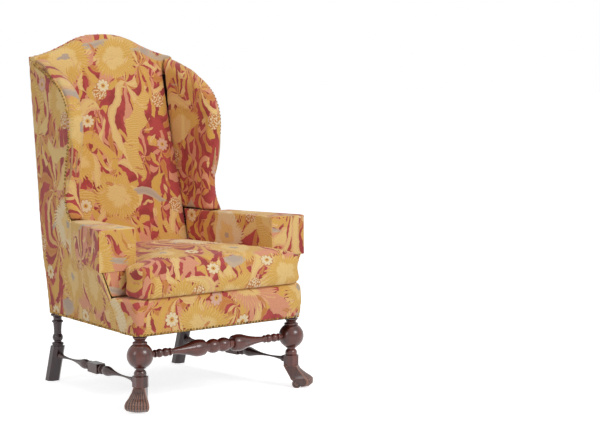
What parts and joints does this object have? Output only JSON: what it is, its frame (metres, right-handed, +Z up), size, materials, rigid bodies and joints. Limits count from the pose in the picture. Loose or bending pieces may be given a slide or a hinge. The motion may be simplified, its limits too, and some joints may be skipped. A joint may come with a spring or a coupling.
{
  "type": "wingback armchair",
  "caption": "Wingback armchair with a serpentine crest, turned ball legs with brush feet, loose seat cushion and arm caps, in a woven floral fabric.",
  "frame": {"origin": "on the floor, in the middle of the chair's width and depth", "axes": "+Z up, the chair faces -Y, +X to the right seen from the front"},
  "size_m": [0.871, 0.824, 1.25],
  "materials": {
    "polished_wood": "dark red-brown polish",
    "frame_wood": "raw beech inside the upholstery",
    "cushion_fabric": "woven tapestry",
    "cap_fabric": "woven tapestry, lined",
    "back_fabric": "woven tapestry",
    "outside_back_fabric": "woven tapestry",
    "side_fabric": "woven tapestry",
    "wing_fabric": "woven tapestry",
    "arm_fabric": "woven tapestry",
    "apron_fabric": "woven tapestry",
    "deck_cloth": "plain deck cloth",
    "dust_cloth": "black cambric",
    "webbing": "jute",
    "spring_steel": "coppered wire",
    "brass_nails": "aged brass"
  },
  "bodies": {
    "chair": {"apron_nails": "brass_nails", "arm_pad_left": "arm_fabric", "arm_pad_right": "arm_fabric", "arm_post_left": "frame_wood", "arm_post_right": "frame_wood", "arm_rail_left": "frame_wood", "arm_rail_right": "frame_wood", "back_webbing": "webbing", "crest_rail": "frame_wood", "dust_cover": "dust_cloth", "front_corner_block_left": "frame_wood", "front_corner_block_right": "frame_wood", "front_foot_left": "polished_wood", "front_foot_right": "polished_wood", "front_leg_left": "polished_wood", "front_leg_right": "polished_wood", "front_rail": "frame_wood", "front_stretcher": "polished_wood", "inside_back_pad": "back_fabric", "lower_back_rail": "frame_wood", "outside_back_panel": "outside_back_fabric", "outside_panel_left": "side_fabric", "outside_panel_right": "side_fabric", "rear_corner_block_left": "frame_wood", "rear_corner_block_right": "frame_wood", "rear_post_left": "polished_wood", "rear_post_right": "polished_wood", "rear_rail": "frame_wood", "seat_apron": "apron_fabric", "seat_platform": "deck_cloth", "seat_springs": "spring_steel", "seat_webbing": "webbing", "side_nails_left": "brass_nails", "side_nails_right": "brass_nails", "side_rail_left": "frame_wood", "side_rail_right": "frame_wood", "side_stretcher_left": "polished_wood", "side_stretcher_right": "polished_wood", "tuck_rail_left": "frame_wood", "tuck_rail_right": "frame_wood", "wing_pad_left": "wing_fabric", "wing_pad_right": "wing_fabric", "wing_post_left": "frame_wood", "wing_post_right": "frame_wood", "wing_rail_left": "frame_wood", "wing_rail_right": "frame_wood"},
    "seat_cushion": {"seat_cushion": "cushion_fabric"},
    "arm_cap_left": {"arm_cap_left": "cap_fabric"},
    "arm_cap_right": {"arm_cap_right": "cap_fabric"}
  },
  "joints": [
    {"name": "cushion_lift", "type": "slide", "parent": "chair", "child": "seat_cushion", "axis": [0, 0, 1], "range_m": [0, 0.35]},
    {"name": "left_cap_lift", "type": "slide", "parent": "chair", "child": "arm_cap_left", "axis": [0, 0, 1], "range_m": [0, 0.2]},
    {"name": "right_cap_lift", "type": "slide", "parent": "chair", "child": "arm_cap_right", "axis": [0, 0, 1], "range_m": [0, 0.2]}
  ]
}
